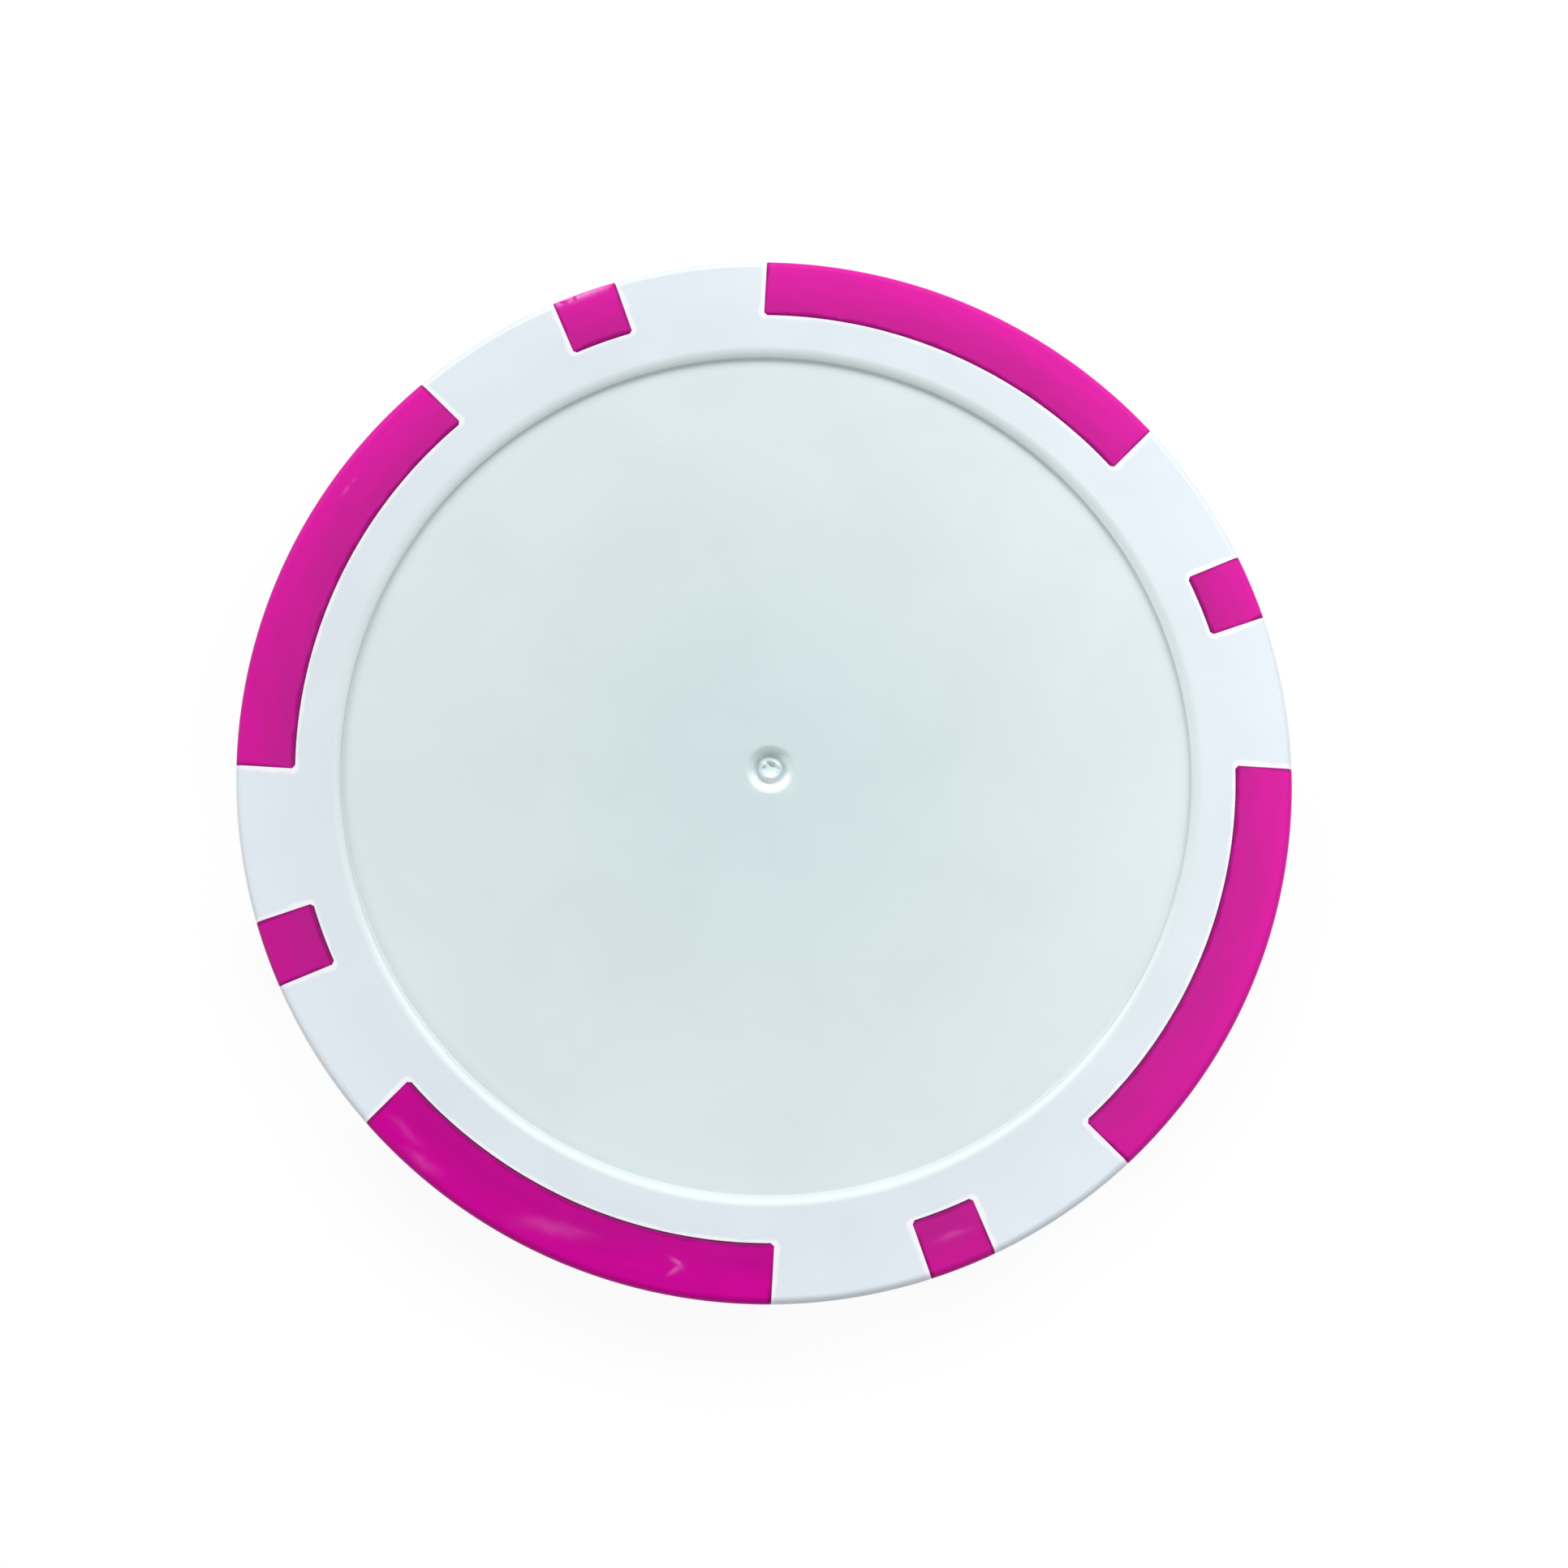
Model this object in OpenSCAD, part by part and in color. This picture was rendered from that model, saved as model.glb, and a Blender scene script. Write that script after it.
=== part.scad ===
// Weighted plastic poker chip: two white half shells glued round a steel slug, with long and short
// magenta edge spots held between them. The chip stands on its back face, with its axis on Z.

/* [Chip] */
// Outside diameter
chip_d = 40; // [36:0.5:48]
// Thickness over the two rims
chip_t = 3.3; // [3:0.1:4.5]
// Rounding of the outer edges
edge_r = 0.3; // [0.2:0.05:0.7]

/* [Label recess] */
// Width of the raised rim, from the outer edge in to the wall of the label recess
rim_w = 3.9; // [3.3:0.05:5]
// Depth of the recess below the rim
recess_depth = 0.3; // [0.25:0.05:0.6]
// Width of the rounded shoulder between the rim and the wall of the recess
lip_w = 0.4; // [0.2:0.05:0.6]
// How far the shoulder falls from the rim to the top of that wall
lip_drop = 0.15; // [0.05:0.01:0.2]

/* [Gate mark] */
// Diameter of the dimple round the gate
gate_dimple_d = 1.8; // [1.5:0.1:3]
// Depth of the dimple below the floor of the recess
gate_dimple_depth = 0.24; // [0.1:0.01:0.26]
// Diameter of the broken-off gate
gate_nub_d = 0.9; // [0.4:0.1:1]
// How far the broken-off gate stands below the floor, so that a label lies flat on it
gate_nub_drop = 0.05; // [0.01:0.01:0.08]
// Width of the flat ring round the foot of the broken-off gate
gate_ring_w = 0.06; // [0.05:0.01:0.15]

/* [Edge spots] */
// Number of long spots, with a short one after each
spot_sets = 4; // [2:1:5]
// How far the spots reach in from the outer edge
spot_depth = 2.2; // [1.8:0.05:2.6]
// Angle that a long spot spans at the middle of its depth
long_spot_angle = 48.86; // [30:0.1:50]
// Angle by which a long spot's ends lean in from the radius
long_spot_lean = 5.5; // [0:0.5:10]
// Width of a short spot
short_spot_w = 2.58; // [1.5:0.02:4]
// Rounding of the spots' inner corners
spot_corner_r = 0.2; // [0.1:0.05:0.4]
// Clearance between a spot and its pocket
spot_fit = 0.02; // [0.01:0.01:0.05]
// How far the hidden locking flange stands out from a spot
flange_w = 0.6; // [0.3:0.05:0.8]
// Thickness of the locking flange
flange_t = 1; // [0.6:0.05:1.4]
// White plastic left between the flange and the outer edge
flange_cover = 0.8; // [0.6:0.05:1.2]

/* [Shell joint] */
// Plastic between the floor of the recess and the slug
web_t = 0.55; // [0.35:0.05:0.6]
// Width of the glued land between the slug's pocket and the flanges
land_w = 1.5; // [1.2:0.05:2]
// Width of the tongue on the glued land
tongue_w = 0.5; // [0.3:0.05:0.6]
// Height of the tongue
tongue_h = 0.4; // [0.2:0.05:0.6]
// Clearance round the tongue in its groove
tongue_fit = 0.04; // [0.02:0.01:0.08]

/* [Slug and pins] */
// Clearance round the slug's edge
slug_gap = 0.1; // [0.05:0.01:0.2]
// Clearance over the slug, which lies on the back shell
slug_play = 0.05; // [0.02:0.01:0.1]
// Number of locating pins through the slug
pin_count = 4; // [3:1:6]
// Diameter of a pin
pin_d = 1.6; // [1.2:0.1:2]
// Clearance of a pin in its socket
pin_fit = 0.03; // [0.02:0.01:0.06]
// Wall of a socket
socket_wall = 0.7; // [0.5:0.05:1]
// Plastic left under a socket's bore, above the web
socket_floor = 0.3; // [0.2:0.05:0.4]
// Distance of the pins in from the slug's edge
pin_inset = 6.5; // [4:0.1:8]

/* [Hidden] */
$fn = 96;
// Overshoot of a cut past the face that it opens
over = 1;
chip_r = chip_d / 2;
mid_z = chip_t / 2;
recess_r = chip_r - rim_w;
recess_z = chip_t - recess_depth;
// Radius of the shoulder, which runs level into the rim
lip_r = (pow(lip_w, 2) + pow(lip_drop, 2)) / (2 * lip_drop);
// Inner side of the front web, which is the roof of the slug's pocket
roof_z = recess_z - web_t;
// Inner side of the back web, which carries the slug
floor_z = chip_t - roof_z;
spot_r = chip_r - spot_depth;
spot_mid_r = chip_r - spot_depth / 2;
land_r = spot_r - flange_w - land_w;
tongue_r = land_r + land_w / 2;
slug_r = land_r - slug_gap;
slug_top_z = roof_z - slug_play;
pin_circle_r = slug_r - pin_inset;
socket_r = pin_d / 2 + pin_fit + socket_wall;
socket_bottom_z = floor_z + socket_floor;
gate_floor_z = recess_z - gate_dimple_depth;
gate_floor_d = gate_nub_d + 2 * gate_ring_w;
set_angle = 360 / spot_sets;
// Each kind of spot: the half angle of its end walls at mid depth, and the walls' own direction
long_half = long_spot_angle / 2;
long_wall = long_half - long_spot_lean;
short_half = asin(short_spot_w / 2 / spot_mid_r);
short_wall = 0;
shell_white = "#E2EBF2";
spot_magenta = "#D21E9D";
slug_steel = "#B4B8BC";

// A unit vector at an angle
function heading(angle) = [cos(angle), sin(angle)];
// The centre of a spot's rounded inner corner, which touches the end wall and the inner arc
function corner_centre(half, wall) =
  let (
    along = heading(wall),
    inward = [sin(wall), -cos(wall)],
    start = spot_mid_r * heading(half) + spot_corner_r * inward,
    run = start * along
  )
  start + along * (sqrt(run * run - start * start + pow(spot_r + spot_corner_r, 2)) - run);

// What a rounding of radius r takes off a corner at the origin, whose material lies towards -x and -y
module corner_waste(r) {
  difference() {
    translate([-r, -r]) square(r + over);
    translate([-r, -r]) circle(r);
  }
}

// What the shoulder takes off the top of the recess wall, which stands at the origin
module shoulder_waste() {
  difference() {
    translate([0, -lip_drop]) square([lip_w, lip_drop + over]);
    translate([lip_w, -lip_r]) circle(lip_r);
  }
}

// Section of the whole chip's outside, without its recesses
module envelope_section() {
  difference() {
    square([chip_r, chip_t]);
    translate([chip_r, chip_t]) corner_waste(edge_r);
    translate([chip_r, 0]) mirror([0, 1]) corner_waste(edge_r);
  }
}

module envelope() {
  rotate_extrude() envelope_section();
}

// Section of the front half of the body, with its label recess and the slug's pocket
module half_section() {
  difference() {
    envelope_section();
    translate([-over, -over]) square([chip_r + 2 * over, mid_z + over]);
    translate([-over, recess_z]) square([recess_r + over, recess_depth + over]);
    translate([recess_r, chip_t]) shoulder_waste();
    translate([-over, mid_z - over]) square([land_r + over, roof_z - mid_z + over]);
  }
}

// Waste outside one rounded inner corner of a spot that is grown by a clearance
module spot_corner_waste(half, wall, grow) {
  centre = corner_centre(half, wall);
  to_wall = (spot_corner_r + grow) * [-sin(wall), cos(wall)];
  to_arc = -(spot_corner_r + grow) * centre / norm(centre);
  difference() {
    polygon([centre, centre + to_wall, centre + 1.5 * (to_wall + to_arc), centre + to_arc]);
    translate(centre) circle(spot_corner_r + grow);
  }
}

// Outline of a spot on +X, grown on every side by a clearance and open past the outer edge
module spot_outline(half, wall, grow = 0) {
  along = heading(wall);
  edge = spot_mid_r * heading(half) + grow * [-sin(wall), cos(wall)];
  inner = edge - (spot_depth + grow) * along;
  outer = edge + chip_r * along;
  difference() {
    polygon([inner, outer, [outer[0], -outer[1]], [inner[0], -inner[1]]]);
    circle(spot_r - grow);
    spot_corner_waste(half, wall, grow);
    mirror([0, 1]) spot_corner_waste(half, wall, grow);
  }
}

// Locking flange round the hidden part of a spot, grown by a clearance
module spot_flange(half, wall, grow = 0) {
  translate([0, 0, mid_z - flange_t / 2 - grow])
    linear_extrude(flange_t + 2 * grow)
      intersection() {
        spot_outline(half, wall, flange_w + grow);
        circle(chip_r - flange_cover + grow);
      }
}

// One spot on +X: a block of the chip's full thickness with its locking flange
module spot(half, wall) {
  intersection() {
    envelope();
    linear_extrude(chip_t) spot_outline(half, wall);
  }
  spot_flange(half, wall);
}

// The room that one spot on +X takes in the shells
module spot_pocket(half, wall) {
  translate([0, 0, -over])
    linear_extrude(chip_t + 2 * over) spot_outline(half, wall, spot_fit);
  spot_flange(half, wall, spot_fit);
}

module at_spot(i, turn) {
  rotate((i - 1 + turn) * set_angle) children();
}

module all_spot_pockets() {
  for (i = [1:spot_sets]) {
    at_spot(i, 0) spot_pocket(long_half, long_wall);
    at_spot(i, 0.5) spot_pocket(short_half, short_wall);
  }
}

// The cone-shaped dimple that the gate is broken off in, cut on past the floor of the recess
module gate_dimple() {
  widening = (gate_dimple_d - gate_floor_d) / gate_dimple_depth;
  height = gate_dimple_depth + over;
  translate([0, 0, gate_floor_z])
    cylinder(h = height, d1 = gate_floor_d, d2 = gate_floor_d + widening * height);
}

// The stub of the gate, rooted halfway down in what the dimple leaves of the web
module gate_nub() {
  bottom = (gate_floor_z + roof_z) / 2;
  translate([0, 0, bottom]) cylinder(h = recess_z - gate_nub_drop - bottom, d = gate_nub_d);
}

// The front half of the body; the back half is the same, turned over
module half_shell() {
  difference() {
    rotate_extrude() half_section();
    all_spot_pockets();
    gate_dimple();
  }
  gate_nub();
}

module turned_over() {
  translate([0, 0, chip_t]) mirror([0, 0, 1]) children();
}

// A ring on the glued land, standing on the plane where the shells meet
module land_ring(width, height, below = 0) {
  translate([0, 0, mid_z - below])
    rotate_extrude() translate([tongue_r - width / 2, 0]) square([width, height + below]);
}

// Places round the slug, midway between the lines of the spots
module at_pins() {
  for (i = [0:pin_count - 1])
    rotate((i + 0.5) * 360 / pin_count) translate([pin_circle_r, 0, 0]) children();
}

module front_shell() {
  pin_bottom_z = socket_bottom_z + slug_play;
  color(shell_white) {
    difference() {
      half_shell();
      land_ring(tongue_w + 2 * tongue_fit, tongue_h + tongue_fit, over);
    }
    at_pins()
      translate([0, 0, pin_bottom_z]) cylinder(h = roof_z + web_t / 2 - pin_bottom_z, d = pin_d);
  }
}

module back_shell() {
  socket_top_z = slug_top_z;
  socket_root_z = floor_z - web_t / 2;
  color(shell_white) {
    turned_over() half_shell();
    land_ring(tongue_w, tongue_h, tongue_h);
    at_pins() difference() {
      translate([0, 0, socket_root_z]) cylinder(h = socket_top_z - socket_root_z, r = socket_r);
      translate([0, 0, socket_bottom_z]) cylinder(h = chip_t, d = pin_d + 2 * pin_fit);
    }
  }
}

module steel_slug() {
  color(slug_steel) difference() {
    translate([0, 0, floor_z]) cylinder(h = slug_top_z - floor_z, r = slug_r);
    at_pins() cylinder(h = chip_t, r = socket_r + slug_gap);
  }
}

module long_edge_spot(i) {
  color(spot_magenta) at_spot(i, 0) spot(long_half, long_wall);
}

module short_edge_spot(i) {
  color(spot_magenta) at_spot(i, 0.5) spot(short_half, short_wall);
}

front_shell();
back_shell();
steel_slug();
for (i = [1:spot_sets]) long_edge_spot(i);
for (i = [1:spot_sets]) short_edge_spot(i);
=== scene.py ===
"""Looks of a weighted plastic poker chip.

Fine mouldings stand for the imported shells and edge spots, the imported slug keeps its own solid, and every
piece gets a procedural finish. Pieces are modelled in millimetres and scaled to metres when they are done.
"""

import logging
import math
from dataclasses import dataclass, field
from enum import Enum
from typing import NamedTuple

import bmesh
import bpy
from mathutils import Matrix, Vector


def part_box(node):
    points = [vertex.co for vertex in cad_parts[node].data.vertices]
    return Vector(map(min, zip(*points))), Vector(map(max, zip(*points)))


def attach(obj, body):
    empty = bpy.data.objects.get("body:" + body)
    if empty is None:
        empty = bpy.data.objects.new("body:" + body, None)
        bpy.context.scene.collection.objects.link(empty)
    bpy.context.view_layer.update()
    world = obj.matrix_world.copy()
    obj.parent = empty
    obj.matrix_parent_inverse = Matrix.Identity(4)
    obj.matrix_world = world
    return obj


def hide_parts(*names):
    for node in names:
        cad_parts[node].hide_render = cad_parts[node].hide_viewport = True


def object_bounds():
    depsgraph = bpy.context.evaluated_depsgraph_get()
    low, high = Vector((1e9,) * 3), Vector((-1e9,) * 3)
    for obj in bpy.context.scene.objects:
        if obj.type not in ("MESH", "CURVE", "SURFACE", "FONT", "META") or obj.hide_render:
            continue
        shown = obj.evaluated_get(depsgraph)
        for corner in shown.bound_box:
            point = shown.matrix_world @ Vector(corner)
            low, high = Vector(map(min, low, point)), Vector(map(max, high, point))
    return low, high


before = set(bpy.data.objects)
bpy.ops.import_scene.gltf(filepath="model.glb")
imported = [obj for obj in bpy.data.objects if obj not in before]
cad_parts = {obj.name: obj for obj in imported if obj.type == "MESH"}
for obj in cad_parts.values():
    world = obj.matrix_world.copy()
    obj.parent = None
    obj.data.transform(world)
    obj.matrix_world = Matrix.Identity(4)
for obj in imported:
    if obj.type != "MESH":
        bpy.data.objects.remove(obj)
cad_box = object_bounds()

Pair = tuple[float, float]
Triple = tuple[float, float, float]
Colour = Triple
Value = float | bpy.types.NodeSocket

MM = 0.001
BODY = "root"
SHARP_ANGLE = math.radians(35)
FLAT_ANGLE = math.radians(0.02)
FACE_WEIGHT = 100
TINY = 1e-4
log = logging.getLogger("poker_chip")


class Meeting(Enum):
    """How a second solid changes the first one."""

    ADD = "UNION"
    CUT = "DIFFERENCE"


class Face(Enum):
    """The two faces of the chip, with the side of the middle plane that each lies on."""

    FRONT = 1
    BACK = -1


class SpotKind(Enum):
    """The two kinds of edge spot, with the turn of the first one in steps from one long spot to the next."""

    LONG = 0.0
    SHORT = 0.5


@dataclass(frozen=True)
class ChipSizes:
    """Sizes of the chip in millimetres and degrees.

    The radius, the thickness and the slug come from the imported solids.
    """

    radius: float
    thickness: float
    slug_radius: float
    slug_low: float
    slug_high: float
    edge_round: float = 0.3
    recess_radius: float = 16.1
    recess_depth: float = 0.3
    lip_width: float = 0.4
    lip_drop: float = 0.15
    lip_ease: float = 0.02
    corner_fillet: float = 0.09
    web: float = 0.55
    seam_chamfer: float = 0.06
    spot_sets: int = 4
    spot_depth: float = 2.2
    long_spot_angle: float = 48.86
    long_spot_lean: float = 5.5
    short_spot_width: float = 2.58
    spot_corner: float = 0.13
    spot_fit: float = 0.02
    spot_ease: float = 0.08
    pocket_flare: float = 0.02
    flange_width: float = 0.6
    flange_thickness: float = 1.0
    flange_cover: float = 0.8
    slug_gap: float = 0.1
    land_width: float = 1.5
    tongue_width: float = 0.5
    tongue_height: float = 0.4
    tongue_fit: float = 0.04
    pin_count: int = 4
    pin_diameter: float = 1.6
    pin_fit: float = 0.03
    pin_inset: float = 6.5
    socket_wall: float = 0.7
    socket_floor: float = 0.3

    @classmethod
    def from_frame(cls) -> "ChipSizes":
        """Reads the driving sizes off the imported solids.

        Returns:
            The sizes.
        """
        low, high = cad_box
        slug_low, slug_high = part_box("steel_slug")
        return cls(
            radius=(high.x - low.x) / 2 / MM,
            thickness=(high.z - low.z) / MM,
            slug_radius=(slug_high.x - slug_low.x) / 2 / MM,
            slug_low=slug_low.z / MM,
            slug_high=slug_high.z / MM,
        )

    @property
    def middle(self) -> float:
        """Height of the plane where the shells meet."""
        return self.thickness / 2

    @property
    def floor_height(self) -> float:
        """Height of the front recess's floor."""
        return self.thickness - self.recess_depth

    @property
    def roof_height(self) -> float:
        """Height of the inner side of the front web."""
        return self.floor_height - self.web

    @property
    def spot_radius(self) -> float:
        """Radius of the spots' inner walls."""
        return self.radius - self.spot_depth

    @property
    def spot_middle_radius(self) -> float:
        """Radius at the middle of the spots' depth."""
        return self.radius - self.spot_depth / 2

    @property
    def land_radius(self) -> float:
        """Inner radius of the glued land, which is the wall of the slug's pocket."""
        return self.slug_radius + self.slug_gap

    @property
    def tongue_radius(self) -> float:
        """Radius of the tongue's middle line."""
        return self.land_radius + self.land_width / 2

    @property
    def pin_circle(self) -> float:
        """Radius of the circle that the locating pins stand on."""
        return self.slug_radius - self.pin_inset


def heading(angle: float) -> Vector:
    """A unit vector in the plane of the chip."""
    return Vector((math.cos(angle), math.sin(angle), 0.0))


@dataclass(frozen=True)
class Patch:
    """An oval patch on a face of the chip that fades out from its middle, in millimetres.

    Attributes:
        place: its middle, from the chip's axis.
        turn: direction of its long side, in degrees.
        length: its spread along that direction.
        width: its spread across that direction.
    """

    place: Pair
    turn: float
    length: float
    width: float


@dataclass(frozen=True)
class Lump(Patch):
    """One rise or dent on the broken top of the gate.

    Attributes:
        rise: its height, below zero for a dent.
    """

    rise: float

    def height(self, x: float, y: float) -> float:
        """Height that the lump adds at a point.

        Args:
            x: first coordinate of the point.
            y: second coordinate of the point.

        Returns:
            The height.
        """
        along = heading(math.radians(self.turn))
        across = Vector((-along.y, along.x, 0.0))
        away = Vector((x - self.place[0], y - self.place[1], 0.0))
        lengths = away.dot(along) / self.length
        widths = away.dot(across) / self.width
        return self.rise * math.exp(-(lengths**2) - widths**2)


@dataclass(frozen=True)
class ColourMark(Patch):
    """One mark of colour on the front face; rubs, painted highlights and painted shade all use it.

    Attributes:
        strength: how much it changes the colour in its middle, from 0 to 1.
        depth: its spread below the face that it lies on.
    """

    strength: float
    depth: float = 1.0


@dataclass(frozen=True)
class Gate:
    """The mark where the moulding gate broke off, in millimetres."""

    off_centre: Pair = (0.07, 0.0)
    dimple_radius: float = 0.9
    throat_radius: float = 0.62
    throat_depth: float = 0.14
    dimple_round: float = 0.06
    bottom_radius: float = 0.5
    depth: float = 0.27
    stub_radius: float = 0.45
    stub_drop: float = 0.11
    stub_round: float = 0.1
    stub_rings: int = 18
    stub_brow: int = 10
    lumps: tuple[Lump, ...] = (
        Lump(place=(0.12, -0.41), turn=24, length=0.45, width=0.33, rise=0.11),
        Lump(place=(-0.02, 0.33), turn=4, length=0.15, width=0.08, rise=0.06),
        Lump(place=(0.21, 0.28), turn=-34, length=0.12, width=0.08, rise=0.06),
        Lump(place=(-0.32, 0.04), turn=82, length=0.13, width=0.08, rise=0.06),
        Lump(place=(-0.02, 0.17), turn=-9, length=0.16, width=0.055, rise=-0.16),
        Lump(place=(-0.22, -0.05), turn=60, length=0.08, width=0.06, rise=-0.06),
    )

    def relief(self, x: float, y: float) -> float:
        """Height of the broken top above its mean level, fading out at the stub's edge."""
        fade = max(0.0, 1 - (math.hypot(x, y) / self.stub_radius) ** self.stub_brow)
        return fade * sum(lump.height(x, y) for lump in self.lumps)


def temporary_object(name: str, solid: bmesh.types.BMesh) -> bpy.types.Object:
    """Stands a bmesh in the scene and frees it.

    Args:
        name: name of the new object and its mesh.
        solid: the bmesh, in millimetres.

    Returns:
        The new object.
    """
    mesh = bpy.data.meshes.new(name)
    solid.to_mesh(mesh)
    solid.free()
    made = bpy.data.objects.new(name, mesh)
    bpy.context.scene.collection.objects.link(made)
    return made


def met_solids(body: bmesh.types.BMesh, others: list[tuple[Meeting, bmesh.types.BMesh]]) -> bpy.types.Mesh:
    """Adds solids to a body or cuts them out of it, one after the other.

    Args:
        body: the solid that is changed.
        others: how each further solid meets it.

    Returns:
        A new mesh of the result.
    """
    base = temporary_object("base", body)
    helpers = []
    for meeting, solid in others:
        helper = temporary_object("helper", solid)
        helpers.append(helper)
        step = base.modifiers.new(meeting.name, "BOOLEAN")
        step.operation = meeting.value
        step.solver = "MANIFOLD"
        step.object = helper
    view = bpy.context.evaluated_depsgraph_get()
    mesh = bpy.data.meshes.new_from_object(base.evaluated_get(view))
    for used in [base, *helpers]:
        spent = used.data
        bpy.data.objects.remove(used)
        bpy.data.meshes.remove(spent)
    return mesh


def finished_piece(name: str, mesh: bpy.types.Mesh) -> bpy.types.Object:
    """Scales a mesh to metres and stands it in the scene as a smooth piece of the chip.

    Args:
        name: name of the piece.
        mesh: its mesh, in millimetres.

    Returns:
        The piece, which rides on the chip.
    """
    mesh.name = name
    mesh.transform(Matrix.Scale(MM, 4))
    mesh.shade_smooth()
    mesh.set_sharp_from_angle(angle=SHARP_ANGLE)
    piece = bpy.data.objects.new(name, mesh)
    bpy.context.scene.collection.objects.link(piece)
    even = piece.modifiers.new("even_normals", "WEIGHTED_NORMAL")
    even.weight = FACE_WEIGHT
    even.keep_sharp = True
    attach(piece, BODY)
    return piece


def coat(piece: bpy.types.Object, finish: bpy.types.Material) -> None:
    """Gives a piece one finish all over.

    Args:
        piece: the piece.
        finish: its finish.
    """
    piece.data.materials.clear()
    piece.data.materials.append(finish)


@dataclass(frozen=True)
class SpotPlan:
    """Plan of one kind of edge spot, centred on +X.

    Attributes:
        half_angle: angle of the end wall at the middle of the spot's depth, in radians.
        wall_heading: direction of that wall, in radians.
        middle_radius: radius at the middle of the depth.
    """

    half_angle: float
    wall_heading: float
    middle_radius: float

    @classmethod
    def of_kind(cls, kind: SpotKind, sizes: ChipSizes) -> "SpotPlan":
        """Works out the plan of a kind of spot.

        Args:
            kind: long or short.
            sizes: the chip's sizes.

        Returns:
            The plan.
        """
        middle = sizes.spot_middle_radius
        if kind is SpotKind.LONG:
            half = math.radians(sizes.long_spot_angle / 2)
            return cls(half, half - math.radians(sizes.long_spot_lean), middle)
        return cls(math.asin(sizes.short_spot_width / 2 / middle), 0.0, middle)

    def wall_angle(self, radius: float, grow: float) -> float:
        """Angle at which the end wall crosses a radius.

        Args:
            radius: the radius.
            grow: how far the wall is moved outwards.

        Returns:
            The angle in radians.
        """
        along = heading(self.wall_heading)
        outward = Vector((-along.y, along.x, 0.0))
        start = self.middle_radius * heading(self.half_angle) + grow * outward
        run = start.dot(along)
        crossing = start + along * (math.sqrt(run * run - start.length_squared + radius * radius) - run)
        return math.atan2(crossing.y, crossing.x)


@dataclass(frozen=True)
class SpotBlock:
    """A block with the outline of a spot on +X, for the spots, their flanges and the room that they take.

    Attributes:
        plan: plan of the spot.
        inner: radius of the inner wall.
        outer: radius of the outer wall.
        low: height of the under side.
        high: height of the upper side.
        corner: rounding of the inner corners.
        grow: how far the inner wall and the end walls are moved outwards.
        edge_round: rounding of the outer edges.
        flare_heights: heights past which the walls stand out by a flare.
        flare: how far they stand out there.
    """

    plan: SpotPlan
    inner: float
    outer: float
    low: float
    high: float
    corner: float
    grow: float = 0.0
    edge_round: float = 0.0
    flare_heights: Pair | None = None
    flare: float = 0.0
    arc_step: float = math.radians(0.75)
    least_steps: int = 12
    round_segments: int = 10
    corner_segments: int = 6

    def growth(self, height: float) -> float:
        """How far the walls are moved outwards at a height.

        Args:
            height: the height.

        Returns:
            The distance.
        """
        if self.flare_heights is None:
            return self.grow
        past = max(self.flare_heights[0] - height, height - self.flare_heights[1]) + self.flare
        return self.grow + max(0.0, min(past, self.flare))

    def section(self) -> bmesh.types.BMesh:
        """The block's radial section on +X, with its outer edges rounded and cut across where it flares.

        Returns:
            The section, as one face.
        """
        solid = bmesh.new()
        low = [solid.verts.new((radius, 0.0, self.low)) for radius in (self.inner, self.outer)]
        high = [solid.verts.new((radius, 0.0, self.high)) for radius in (self.outer, self.inner)]
        corners = [*low, *high]
        solid.faces.new(corners)
        if self.edge_round:
            bmesh.ops.bevel(
                solid, geom=corners[1:3], offset=self.edge_round, affect="VERTICES",
                segments=self.round_segments, profile=0.5, material=-1,
            )
        for side, height in zip((1, -1), self.flare_heights or ()):
            for level in (height, height + side * self.flare):
                everything = [*solid.verts, *solid.edges, *solid.faces]
                bmesh.ops.bisect_plane(
                    solid, geom=everything, dist=TINY, plane_co=(0.0, 0.0, level), plane_no=(0.0, 0.0, 1.0)
                )
        return solid

    def build(self) -> bmesh.types.BMesh:
        """Sweeps the section along the spot and draws its end walls to their lean.

        Returns:
            The closed block.
        """
        half = self.plan.half_angle
        solid = self.section()
        bmesh.ops.rotate(solid, cent=(0, 0, 0), matrix=Matrix.Rotation(-half, 3, "Z"), verts=solid.verts)
        bmesh.ops.spin(
            solid, geom=[*solid.verts, *solid.edges, *solid.faces], cent=(0, 0, 0), axis=(0, 0, 1),
            angle=2 * half, steps=max(self.least_steps, round(2 * half / self.arc_step)),
        )
        corner_verts = set()
        for vert in solid.verts:
            radius = vert.co.xy.length
            share = math.atan2(vert.co.y, vert.co.x) / half
            grow = self.growth(vert.co.z)
            if radius < self.inner + TINY:
                radius -= grow
                if abs(share) > 1 - TINY:
                    corner_verts.add(vert)
            angle = share * self.plan.wall_angle(radius, grow)
            vert.co = radius * heading(angle) + Vector((0, 0, vert.co.z))
        corner_edges = [edge for edge in solid.edges if corner_verts.issuperset(edge.verts)]
        bmesh.ops.bevel(
            solid, geom=corner_edges, offset=self.corner + self.grow, affect="EDGES",
            segments=self.corner_segments, profile=0.5, material=-1,
        )
        bmesh.ops.recalc_face_normals(solid, faces=solid.faces)
        return solid


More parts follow.
